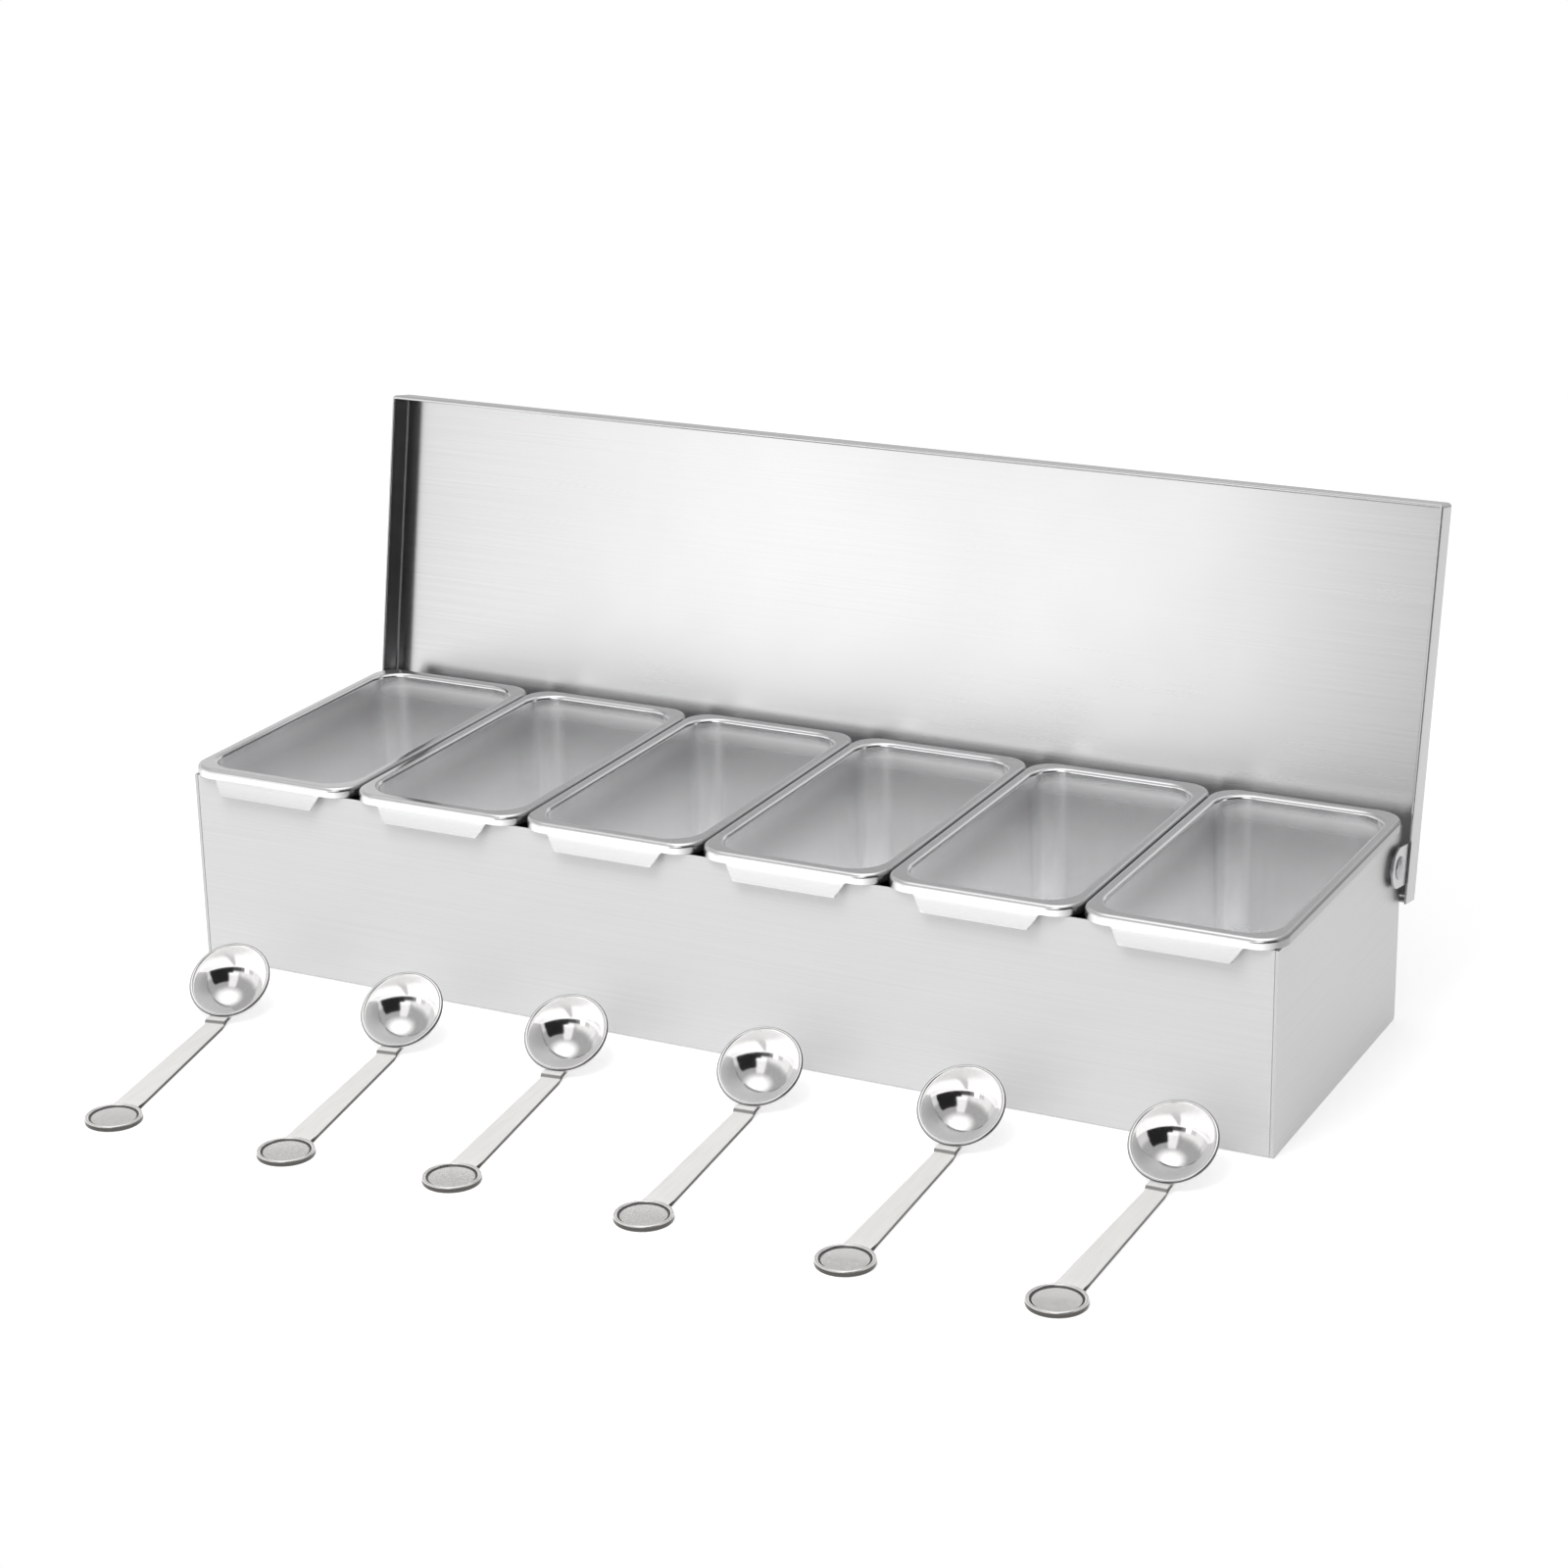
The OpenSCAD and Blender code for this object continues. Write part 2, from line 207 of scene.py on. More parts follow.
def make_consistent(piece):
    """Turns all faces of a piece the same way round."""
    work = bmesh.new()
    work.from_mesh(piece.data)
    bmesh.ops.recalc_face_normals(work, faces=work.faces)
    work.to_mesh(piece.data)
    work.free()


def thicken(piece, sheet, back_material=0):
    """Gives a surface the thickness of its sheet, away from its normals. The number of
    the back's material is counted on from that of the front."""
    solid = piece.modifiers.new("sheet", "SOLIDIFY")
    solid.thickness = sheet * MM
    solid.offset = -1
    solid.use_even_offset = True
    solid.material_offset = back_material


def break_edges(piece, width):
    """Rounds the sharp edges a little and keeps the flat faces flat."""
    bevel = piece.modifiers.new("edges", "BEVEL")
    bevel.width = width * MM
    bevel.segments = 2
    bevel.limit_method = "ANGLE"
    bevel.angle_limit = SHARP_ANGLE
    bevel.use_clamp_overlap = True
    normals = flat_faces(piece)
    normals.keep_sharp = True


def flat_faces(piece):
    """Lets the large faces of a piece set its shading, so that they look flat."""
    normals = piece.modifiers.new("normals", "WEIGHTED_NORMAL")
    normals.weight = NORMAL_WEIGHT
    return normals


def map_grain(piece, along):
    """A UV map whose U runs across the grain, so that the gloss spreads across it."""
    mesh = piece.data
    layer = mesh.uv_layers.new(name="grain")
    axes = [a for a in range(3) if a != along]
    for face in mesh.polygons:
        flat = max(axes, key=lambda a: abs(face.normal[a]))
        across = [a for a in axes if a != flat][0]
        other = along
        if abs(face.normal[along]) > END_GRAIN:
            across, other = axes
        for loop in face.loop_indices:
            co = mesh.vertices[mesh.loops[loop].vertex_index].co
            layer.data[loop].uv = (co[across], co[other])


def without_repeats(face):
    """A face without the corners that fall together."""
    return [v for k, v in enumerate(face) if v != face[k - 1]]


def revolve(profile, segments):
    """Vertices and faces of a profile [(radius, height)] turned about Z."""
    verts = []
    rows = []
    for r, h in profile:
        if r < SAME_POINT:
            rows.append([len(verts)] * segments)
            verts.append(Vector((0, 0, h)))
            continue
        rows.append(list(range(len(verts), len(verts) + segments)))
        for i in range(segments):
            a = 2 * math.pi * i / segments
            verts.append(Vector((r * math.cos(a), r * math.sin(a), h)))
    faces = []
    for low, high in zip(rows, rows[1:]):
        for i in range(segments):
            j = (i + 1) % segments
            face = without_repeats([low[i], low[j], high[j], high[i]])
            if len(face) > 2:
                faces.append(face)
    return verts, faces


def tube_faces(rows, count):
    """Faces between closed rings of points that follow one another."""
    faces = []
    for k in range(rows - 1):
        for i in range(count):
            j = (i + 1) % count
            a, b = k * count + i, k * count + j
            faces.append([a, b, b + count, a + count])
    return faces


def moved(part, matrix):
    verts, faces = part
    return [matrix @ Vector(v) for v in verts], faces


def rows_in(piece, material, first, last, segments):
    """Gives some rows of a turned piece, counted along its profile, another material."""
    piece.data.materials.append(material)
    for index in range(first * segments, last * segments):
        piece.data.polygons[index].material_index = 1


# Shader helpers


def add(tree, kind, **settings):
    node = tree.nodes.new(kind)
    for key, value in settings.items():
        setattr(node, key, value)
    return node


def fill(tree, node, values):
    """Sets or links the inputs of a node: a socket is linked, anything else is set."""
    for key, value in values.items():
        if isinstance(value, bpy.types.NodeSocket):
            tree.links.new(value, node.inputs[key])
        else:
            node.inputs[key].default_value = value


def sum_up(tree, op, first, second=0.0, third=0.0):
    """Result of a sum. Each part of it is a number or a socket."""
    node = add(tree, "ShaderNodeMath", operation=op)
    fill(tree, node, {0: first, 1: second, 2: third})
    return node.outputs[0]


def noise(tree, stretch, detail, shift=(0, 0, 0)):
    """Noise over the object, in features per metre along each axis."""
    coords = add(tree, "ShaderNodeTexCoord")
    mapping = add(tree, "ShaderNodeMapping")
    place = coords.outputs["Object"]
    fill(tree, mapping, {"Vector": place, "Scale": stretch, "Location": shift})
    tex = add(tree, "ShaderNodeTexNoise")
    fill(tree, tex, {"Vector": mapping.outputs[0], "Scale": 1.0})
    fill(tree, tex, {"Detail": detail, "Roughness": NOISE_ROUGHNESS})
    return tex.outputs["Fac"]


def ranged(tree, value, low, high, to_low, to_high, kind="LINEAR"):
    node = add(tree, "ShaderNodeMapRange", interpolation_type=kind)
    fill(tree, node, {0: value, 1: low, 2: high, 3: to_low, 4: to_high})
    return node.outputs[0]


def two_tone(tree, factor, dark, light):
    """Mix of two colours. Each is a tone or a socket."""
    node = add(tree, "ShaderNodeMix", data_type="RGBA")
    fill(tree, node, {0: factor, 6: dark, 7: light})
    return node.outputs[2]


def bumped(tree, height, distance, under=None):
    node = add(tree, "ShaderNodeBump")
    fill(tree, node, {"Height": height, "Distance": distance, "Strength": 1.0})
    if under is not None:
        tree.links.new(under, node.inputs["Normal"])
    return node.outputs[0]


def normal_along(tree, axis):
    """How far the surface faces along an axis of the world, from -1 to 1."""
    geometry = add(tree, "ShaderNodeNewGeometry")
    split = add(tree, "ShaderNodeSeparateXYZ")
    tree.links.new(geometry.outputs["Normal"], split.inputs[0])
    return split.outputs[axis]


def source_of(shader, name):
    """Socket that feeds an input of a shader."""
    return shader.inputs[name].links[0].from_socket


# Materials


NOISE_ROUGHNESS = 0.55
NOISE_LOW = 0.3                     # a noise hardly leaves the range between these two
NOISE_HIGH = 0.7
LINE_IN_TONE = 0.6
DRIFT_IN_TONE = 0.4
DRIFT_IN_GLOSS = 0.65
LINE_IN_GLOSS = 0.35
DRIFT_COUNT = 7                     # features per metre
DRIFT_SHIFT = (3.1, 1.7, 0.4)
WAVE_COUNT = 5
WAVE_SHIFT = (0.2, 7.3, 2.9)
BLUE_TRACE = 0.005

# Streaks in features per metre along X, Y and Z
BRUSHED_X = (9, 1100, 1100)
BRUSHED_Y = (1100, 9, 1100)
LID_BRUSHED = (7, 1100, 1100)
DRAWN_DOWN = (300, 300, 25)
LUG_BRUSHED = (700, 700, 60)
STRAP_BRUSHED = (650, 40, 650)

# Depths of the streaks and of the waves in the sheet, in metres
BRUSH_DEPTH = 0.0000012
DRAWN_DEPTH = 0.0000008
SHEET_WAVE = 0.0002
SMALL_WAVE = 0.0001

# Heights in metres between which the zones of a pan change
RIM_Z = (0.0925, 0.096)
SCUFF_Z = (0.019, 0.040)
# The upper inside walls of a pan get painted shade between these heights.
WALL_SHADE_Z = (0.060, 0.086)
LIP_Z = (0.083, 0.098)
LIP_FACING = (-0.9, -0.3)

# What each zone of a pan adds to its roughness and to how metallic it is
RIM_ROUGH = -0.08
RIM_METALLIC = 0.12
SCUFF_ROUGH = 0.22
SCUFF_METALLIC = -0.75
LIP_METALLIC = -0.7

FLANGE_FACING = (0.8, 0.97)
FLANGE_ROUGH = -0.16


def grey(level):
    """Tone of steel, a trace bluer than grey."""
    return (level, level, level + BLUE_TRACE)


def even(value):
    return (value, value, value)


def steel(name, dark, light, rough, streaks, streak_depth, blotch, wave_depth,
          anisotropic=0.0, metallic=1.0):
    """Stainless sheet. Streaks are the brush or drawing lines, in features per metre along
    each axis. The blotch is how far the roughness drifts over the sheet, and the wave is
    how far the sheet itself is out of true, in metres."""
    material = bpy.data.materials.new(name)
    material.use_nodes = True
    tree = material.node_tree
    shader = tree.nodes["Principled BSDF"]
    line = noise(tree, streaks, detail=4.0)
    drift = noise(tree, even(DRIFT_COUNT), detail=3.0, shift=DRIFT_SHIFT)
    wave = noise(tree, even(WAVE_COUNT), detail=1.0, shift=WAVE_SHIFT)
    tone = sum_up(tree, "MULTIPLY", drift, DRIFT_IN_TONE)
    tone = sum_up(tree, "MULTIPLY_ADD", line, LINE_IN_TONE, tone)
    tone = ranged(tree, tone, NOISE_LOW, NOISE_HIGH, 0.0, 1.0)
    gloss = sum_up(tree, "MULTIPLY", line, LINE_IN_GLOSS)
    gloss = sum_up(tree, "MULTIPLY_ADD", drift, DRIFT_IN_GLOSS, gloss)
    gloss = ranged(tree, gloss, NOISE_LOW, NOISE_HIGH, rough - blotch, rough + blotch)
    normal = bumped(tree, wave, wave_depth)
    normal = bumped(tree, line, streak_depth, under=normal)
    colour = two_tone(tree, tone, (*dark, 1), (*light, 1))
    fill(tree, shader, {"Base Color": colour, "Roughness": gloss, "Normal": normal})
    shader.inputs["Metallic"].default_value = metallic
    if anisotropic:
        shader.inputs["Anisotropic"].default_value = anisotropic
        tangent = add(tree, "ShaderNodeTangent", direction_type="UV_MAP", uv_map="grain")
        tree.links.new(tangent.outputs[0], shader.inputs["Tangent"])
    return material


def pan_zones(material, wall_shade_tone):
    """Gives a pan a more polished rim, a satin lip under it on the wall that faces the front,
    upper walls painted a little darker as painted shade, and a floor that is scuffed and
    duller."""
    tree = material.node_tree
    shader = tree.nodes["Principled BSDF"]
    coords = add(tree, "ShaderNodeTexCoord")
    split = add(tree, "ShaderNodeSeparateXYZ")
    tree.links.new(coords.outputs["Object"], split.inputs[0])
    height = split.outputs[2]
    rim = ranged(tree, height, *RIM_Z, 0.0, 1.0)
    below_rim = sum_up(tree, "SUBTRACT", 1.0, rim)
    scuffed = ranged(tree, height, *SCUFF_Z, 1.0, 0.0, "SMOOTHSTEP")
    lip = ranged(tree, height, *LIP_Z, 0.0, 1.0, "SMOOTHSTEP")
    # Mask of the upper walls that get painted shade.
    wall = ranged(tree, height, *WALL_SHADE_Z, 0.0, 1.0, "SMOOTHSTEP")
    wall = sum_up(tree, "MULTIPLY", wall, sum_up(tree, "SUBTRACT", 1.0, lip))
    lip = sum_up(tree, "MULTIPLY", lip, below_rim)
    facing = ranged(tree, normal_along(tree, 1), *LIP_FACING, 1.0, 0.0)
    lip = sum_up(tree, "MULTIPLY", lip, facing)
    # Painted shade: the upper walls are mixed towards a darker tone.
    colour = two_tone(tree, wall, source_of(shader, "Base Color"), (*wall_shade_tone, 1))
    rough = source_of(shader, "Roughness")
    rough = sum_up(tree, "MULTIPLY_ADD", rim, RIM_ROUGH, rough)
    rough = sum_up(tree, "MULTIPLY_ADD", scuffed, SCUFF_ROUGH, rough)
    metallic = shader.inputs["Metallic"].default_value
    metallic = sum_up(tree, "MULTIPLY_ADD", rim, RIM_METALLIC, metallic)
    metallic = sum_up(tree, "MULTIPLY_ADD", scuffed, SCUFF_METALLIC, metallic)
    metallic = sum_up(tree, "MULTIPLY_ADD", lip, LIP_METALLIC, metallic)
    fill(tree, shader, {"Roughness": rough, "Metallic": metallic, "Base Color": colour})


def paint_shade_where(material, tone, axis, between, away=0.0, along=1.0):
    """Paints shade on a material: darkens it by how far its faces look along an axis, either
    way. The tone's share goes from away to along as the facing passes between two values."""
    tree = material.node_tree
    shader = tree.nodes["Principled BSDF"]
    facing = sum_up(tree, "ABSOLUTE", normal_along(tree, axis))
    mask = ranged(tree, facing, *between, away, along)
    colour = two_tone(tree, mask, source_of(shader, "Base Color"), (*tone, 1))
    tree.links.new(colour, shader.inputs["Base Color"])
    return mask


def polished_flanges_with_shade(material, tone):
    """Lets the turned-down sides of the lid keep the sheet's polish, with painted shade that
    gives them a darker tone.
    """
    tree = material.node_tree
    shader = tree.nodes["Principled BSDF"]
    mask = paint_shade_where(material, tone, axis=0, between=FLANGE_FACING)
    rough = sum_up(tree, "MULTIPLY_ADD", mask, FLANGE_ROUGH, source_of(shader, "Roughness"))
    tree.links.new(rough, shader.inputs["Roughness"])


case_steel = steel(
    "case_steel", grey(0.75), grey(0.81), rough=0.50, blotch=0.04, streaks=BRUSHED_X,
    streak_depth=BRUSH_DEPTH, wave_depth=SHEET_WAVE, anisotropic=0.3, metallic=0.42)
end_steel = steel(
    "end_steel", grey(0.60), grey(0.66), rough=0.44, blotch=0.04, streaks=BRUSHED_Y,
    streak_depth=BRUSH_DEPTH, wave_depth=SHEET_WAVE, anisotropic=0.3, metallic=0.8)
lid_steel = steel(
    "lid_steel", grey(0.69), grey(0.76), rough=0.25, blotch=0.04, streaks=LID_BRUSHED,
    streak_depth=BRUSH_DEPTH, wave_depth=SHEET_WAVE, anisotropic=0.6)
pan_steel = steel(
    "pan_steel", grey(0.93), grey(0.98), rough=0.24, blotch=0.03, streaks=DRAWN_DOWN,
    streak_depth=DRAWN_DEPTH, wave_depth=SMALL_WAVE, metallic=0.84)
skirt_steel = steel(
    "skirt_steel", grey(0.89), grey(0.95), rough=0.2, blotch=0.03, streaks=DRAWN_DOWN,
    streak_depth=DRAWN_DEPTH, wave_depth=SMALL_WAVE, metallic=0.9)
pan_outer_steel = steel(
    "pan_outer_steel", grey(0.60), grey(0.67), rough=0.34, blotch=0.03,
    streaks=DRAWN_DOWN, streak_depth=DRAWN_DEPTH, wave_depth=SMALL_WAVE)
lug_steel = steel(
    "lug_steel", grey(0.46), grey(0.54), rough=0.28, blotch=0.05, streaks=LUG_BRUSHED,
    streak_depth=0.000003, wave_depth=SMALL_WAVE)
rivet_steel = steel(
    "rivet_steel", (0.34, 0.34, 0.35), (0.44, 0.44, 0.45), rough=0.2, blotch=0.06,
    streaks=even(500), streak_depth=0.000004, wave_depth=SMALL_WAVE)
bowl_steel = steel(
    "bowl_steel", (0.80, 0.79, 0.785), (0.88, 0.875, 0.87), rough=0.11, blotch=0.03,
    streaks=even(600), streak_depth=0.000001, wave_depth=SMALL_WAVE)
handle_steel = steel(
    "handle_steel", (0.86, 0.85, 0.83), (0.95, 0.945, 0.93), rough=0.45, blotch=0.06,
    streaks=STRAP_BRUSHED, streak_depth=0.000004, wave_depth=SMALL_WAVE, metallic=0.3)
disc_steel = steel(
    "disc_steel", (0.84, 0.83, 0.81), (0.99, 0.98, 0.96), rough=0.26, blotch=0.06,
    streaks=even(420), streak_depth=0.00002, wave_depth=SMALL_WAVE, metallic=0.8)
# Near-black painted shade for the underside of the bowls' bead and the groove of the discs.
painted_shade_steel = steel(
    "painted_shade_steel", even(0.10), even(0.20), rough=0.32, blotch=0.05,
    streaks=even(600), streak_depth=0.000004, wave_depth=SMALL_WAVE)

# Near-black painted shade for the sides of the spoons' straps and discs.
SIDE_SHADE_TONE = (0.10, 0.095, 0.09)
# The pans' upper inside walls get grey(0.76) as painted shade.
pan_zones(pan_steel, grey(0.76))
# Painted shade in the gaps between the pans: the skirts' sides that face along X are darkened
# to grey(0.34).
paint_shade_where(skirt_steel, grey(0.34), axis=0, between=(0.35, 0.8))
# Painted shade on the sides of the straps and of the discs, the faces that don't look up.
paint_shade_where(handle_steel, SIDE_SHADE_TONE, axis=2, between=(0.25, 0.75), away=1.0, along=0.0)
paint_shade_where(disc_steel, SIDE_SHADE_TONE, axis=2, between=(0.10, 0.45), away=1.0, along=0.0)
# The lid's side flanges get grey(0.46) as painted shade.
polished_flanges_with_shade(lid_steel, grey(0.46))


# Case


WALL_ROWS = (CASE_H, 70, 40, 10)
FLOOR_ROWS = (-55, -20, 20, 55)
INSIDE_CASE = Vector((0, 0, 0.05))


def case_profile():
    """Outside of the folded sheet in (y, z): front wall, floor, rear wall."""
    low = FOLD_R
    front = [(-CASE_HALF_D, z) for z in WALL_ROWS]
    near = arc(-CASE_HALF_D + low, low, low, 180, 270, steps=6)
    under = [(y, 0) for y in FLOOR_ROWS]
    far = arc(CASE_HALF_D - low, low, low, 270, 360, steps=6)
    rear = [(-y, z) for y, z in reversed(front)]
    return front + near + under + far + rear


def case_shell():
    half = CASE_HALF_W - END_SHEET - WELD_GAP
    stations = spread(-half, half, steps=6)
    profile = case_profile()
    verts = [(x, y, z) for x in stations for y, z in profile]
    count = len(profile)
    faces = []
    for i in range(len(stations) - 1):
        for j in range(count - 1):
            a = i * count + j
            faces.append([a, a + 1, a + count + 1, a + count])
    piece = add_piece(
        "case_shell_sheet", verts, faces, "case", "case_steel", case_steel, ["case_shell"])
    face_outwards(piece, INSIDE_CASE)
    map_grain(piece, 0)
    thicken(piece, CASE_SHEET)
    break_edges(piece, CASE_BREAK)


def face_outwards(piece, middle):
    """Turns a folded sheet so that its first face looks away from the line along X
    through a point inside it."""
    mesh = piece.data
    face = mesh.polygons[0]
    out = face.center - middle
    out.x = 0
    if face.normal.dot(out) < 0:
        mesh.flip_normals()


def end_plates():
    for node in ("end_plate_left", "end_plate_right"):
        piece = node_copy(node + "_sheet", node, END_BREAK, "case", end_steel)
        map_grain(piece, 1)


# Pans


PAN_COUNT = 6
CORNER_STEPS = 12
SKIRT_ROWS = 8
SKIRT_ROW_AT = 0.75
TAB_STEPS = 18
TAB_ROWS = 6
TAB_TIP_MARGIN = 1.5
TAB_ROOT_MARGIN = 2.2
TAB_ROOT_EASE = 0.5
TAB_LEAST = 0.03
STEP_SOFTNESS = 0.09
STEP_SINK = 0.004
FLOOR_INSET = 3.0
WALL_SHARES = (0.06, 0.35, 0.65, 0.94)
MIDDLE_SHARES = [0, 0.13, 0.26, 0.39]
LAST_SHARE = 0.98


def soft_step(t):
    """From 0 to 1 as t goes from 0 to 1, straight in the middle and rounded at both ends."""
    rise = math.hypot(t, STEP_SOFTNESS) - math.hypot(t - 1, STEP_SOFTNESS)
    return max(0.0, (rise + 1) / 2 - STEP_SINK)


def front_stations():
    """Places along the front edge of a pan, as shares of half its straight length."""
    half = RIM_HALF_W - RIM_CORNER_R
    slope = spread(TAB_TIP_HALF - TAB_TIP_MARGIN, TAB_ROOT_HALF + TAB_ROOT_MARGIN, TAB_STEPS)
    right = MIDDLE_SHARES + [x / half for x in slope] + [LAST_SHARE]
    return [-v for v in reversed(right[1:])] + right


FRONT = front_stations()
SIDE = spread(-1, 1, steps=16)[1:-1]
REAR = spread(-1, 1, steps=10)[1:-1]


def ring(half_w, half_l, corner_r):
    """Rounded rectangle, from the front edge on and to the right, as (x, y) points."""
    w = half_w - corner_r
    d = half_l - corner_r
    points = [(f * w, -half_l) for f in FRONT]
    points += arc(w, -d, corner_r, -90, 0, CORNER_STEPS)
    points += [(half_w, f * d) for f in SIDE]
    points += arc(w, d, corner_r, 0, 90, CORNER_STEPS)
    points += [(-f * w, half_l) for f in REAR]
    points += arc(-w, d, corner_r, 90, 180, CORNER_STEPS)
    points += [(-half_w, -f * d) for f in SIDE]
    points += arc(-w, -d, corner_r, 180, 270, CORNER_STEPS)
    return points


def cup_profile():
    """Inside of a pan as (out, z), from near the middle of its floor up to the mouth."""
    floor_r = PAN_FLOOR_R - PAN_SHEET
    floor_z = PAN_SHEET - PAN_DEPTH
    lean = math.degrees(math.atan(WALL_DRAFT / (PAN_DEPTH - MOUTH_R)))
    floor_out = -WALL_DRAFT * (1 - PAN_FLOOR_R / PAN_DEPTH) - floor_r
    cup = [(floor_out - FLOOR_INSET, floor_z)]
    cup += arc(floor_out, floor_z + floor_r, floor_r, -90, -lean, steps=9)
    low = Vector(cup[-1])
    top = Vector((0.0, -MOUTH_R))
    cup += [tuple(low.lerp(top, t)) for t in WALL_SHARES]
    return cup + arc(MOUTH_R, -MOUTH_R, MOUTH_R, 180, 90, steps=8)


def pan_rings():
    """Rings of the pan's upper surface, from the floor out to the bottom of the skirt."""
    rings = []
    for out, z in cup_profile():
        rings.append((MOUTH_HALF_W + out, MOUTH_HALF_L + out, MOUTH_CORNER_R + out, z))
    edge = arc(-RIM_EDGE_R, -RIM_EDGE_R, RIM_EDGE_R, 90, 0, steps=8)
    edge += [(0, -SKIRT_ROW_AT * SKIRT_H), (0, -SKIRT_H)]
    for out, z in edge:
        rings.append((RIM_HALF_W + out, RIM_HALF_L + out, RIM_CORNER_R + out, z))
    return rings


def tab_point(x, reach):
    """Point of the pull tab at a distance below the skirt."""
    turned = min(reach / TAB_BEND_R, TAB_FLARE)
    out = TAB_BEND_R * (1 - math.cos(turned))
    down = TAB_BEND_R * math.sin(turned)
    rest = reach - TAB_BEND_R * turned
    out += rest * math.sin(TAB_FLARE)
    down += rest * math.cos(TAB_FLARE)
    return (x, -RIM_HALF_L - out, -SKIRT_H - down)


def pan_mesh():
    verts = []
    count = 0
    rings = pan_rings()
    for half_w, half_l, corner_r, z in rings:
        points = ring(half_w, half_l, corner_r)
        count = len(points)
        verts += [(x, y, z) for x, y in points]
    faces = [list(range(count))] + tube_faces(len(rings), count)
    add_tab(verts, faces, (len(rings) - 1) * count)
    return verts, faces


def add_tab(verts, faces, skirt):
    """Rows of the pull tab under the front edge of the skirt."""
    root = TAB_ROOT_HALF + TAB_ROOT_EASE
    columns = []
    for i in range(len(FRONT)):
        x = verts[skirt + i][0]
        depth = TAB_H * soft_step((root - abs(x)) / (root - TAB_TIP_HALF))
        column = [skirt + i]
        if depth >= TAB_LEAST:
            for r in range(1, TAB_ROWS + 1):
                column.append(len(verts))
                verts.append(tab_point(x, depth * r / TAB_ROWS))
        columns.append(column)
    for left, right in zip(columns, columns[1:]):
        if len(left) == 1 and len(right) == 1:
            continue
        for r in range(TAB_ROWS):
            a, d = left[min(r, len(left) - 1)], left[min(r + 1, len(left) - 1)]
            b, c = right[min(r, len(right) - 1)], right[min(r + 1, len(right) - 1)]
            faces.append(without_repeats([a, b, c, d]))


def skirt_faces():
    """The pan's faces that belong to its turned-down edge, by number."""
    count = len(ring(RIM_HALF_W, RIM_HALF_L, RIM_CORNER_R))
    rows = len(pan_rings()) - 1
    return range(1 + (rows - SKIRT_ROWS) * count, 1 + rows * count)


def pans():
    part = pan_mesh()
    for k in range(1, PAN_COUNT + 1):
        name = "pan_%d" % k
        across = (k - (PAN_COUNT + 1) / 2) * PAN_PITCH
        verts, faces = moved(part, Matrix.Translation((across, 0, RIM_TOP)))
        piece = add_piece(name + "_sheet", verts, faces, name, "pan_steel", pan_steel, [name])
        make_consistent(piece)
        if piece.data.polygons[0].normal.z < 0:
            piece.data.flip_normals()
        piece.data.materials.append(skirt_steel)
        for index in skirt_faces():
            piece.data.polygons[index].material_index = 1
        piece.data.materials.append(pan_outer_steel)
        thicken(piece, PAN_SHEET, back_material=2)
        break_edges(piece, PAN_BREAK)


# Lid


ON_LID = Matrix.Translation((0, PIVOT_Y, PIVOT_Z)) @ Matrix.Rotation(-LID_LEAN, 4, "X")
LEAST_CORNER_R = 0.06
SIDE_ROWS = (-LID_REAR, -LID_REAR + LID_BEND_R, HEM_START, 60, 110, LID_FRONT - LID_CORNER_R)
PLAIN_STEPS = 2                     # steps of the sides, from the rear on, without a hem


def lid_path(inset):
    """Left side, front and right side of the lid in (x, z), drawn in by an inset."""
    half = LID_HALF_W - inset
    front = LID_FRONT - inset
    r = max(LID_CORNER_R - inset, LEAST_CORNER_R)
    left = [(-half, min(z, front - r)) for z in SIDE_ROWS]
    left_corner = arc(-half + r, front - r, r, 180, 90, steps=6)[1:]
    across = [(f * (half - r), front) for f in spread(-1, 1, steps=12)[1:-1]]
    right_corner = arc(half - r, front - r, r, 90, 0, steps=6)[:-1]
    right = [(-x, z) for x, z in reversed(left)]
    return left + left_corner + across + right_corner + right


def lid_edge():
    """Bend, flange and hem as (inset, y) rows, from the panel on."""
    bend = arc(LID_BEND_R, LID_OUT - LID_BEND_R, LID_BEND_R, 90, 180, steps=7)
    nose_r = LID_BEND_R / 2
    nose = arc(nose_r, LID_TIP + nose_r, nose_r, 180, 360, steps=8)
    hem = [(2 * nose_r, LID_TIP + LID_HEM)]
    return bend, nose + hem


def lid_mesh():
    bend, hem = lid_edge()
    rows = bend + hem
    verts = []
    for inset, y in rows:
        verts += [(x, y, z) for x, z in lid_path(inset)]
    count = len(lid_path(0))
    faces = []
    hem_from = len(bend)
    right_plain = count - 1 - PLAIN_STEPS
    for k in range(len(rows) - 1):
        for i in range(count - 1):
            plain = i < PLAIN_STEPS or i >= right_plain
            if plain and k >= hem_from:
                continue
            a = k * count + i
            faces.append([a, a + 1, a + count + 1, a + count])
    for start in (0, right_plain):
        add_plain_edge(verts, faces, hem_from * count + start, PLAIN_STEPS + 1)
    faces.append(list(range(1, count - 1)))
    add_rear_lip(verts, faces, 1, count - 2)
    return verts, faces


def add_plain_edge(verts, faces, first, count):
    """The side flange beside the hinge lug, which has no hem, runs on to the same depth."""
    base = len(verts)
    for i in range(count):
        x, _, z = verts[first + i]
        verts.append((x, LID_TIP, z))
    for i in range(count - 1):
        faces.append([first + i, first + i + 1, base + i + 1, base + i])


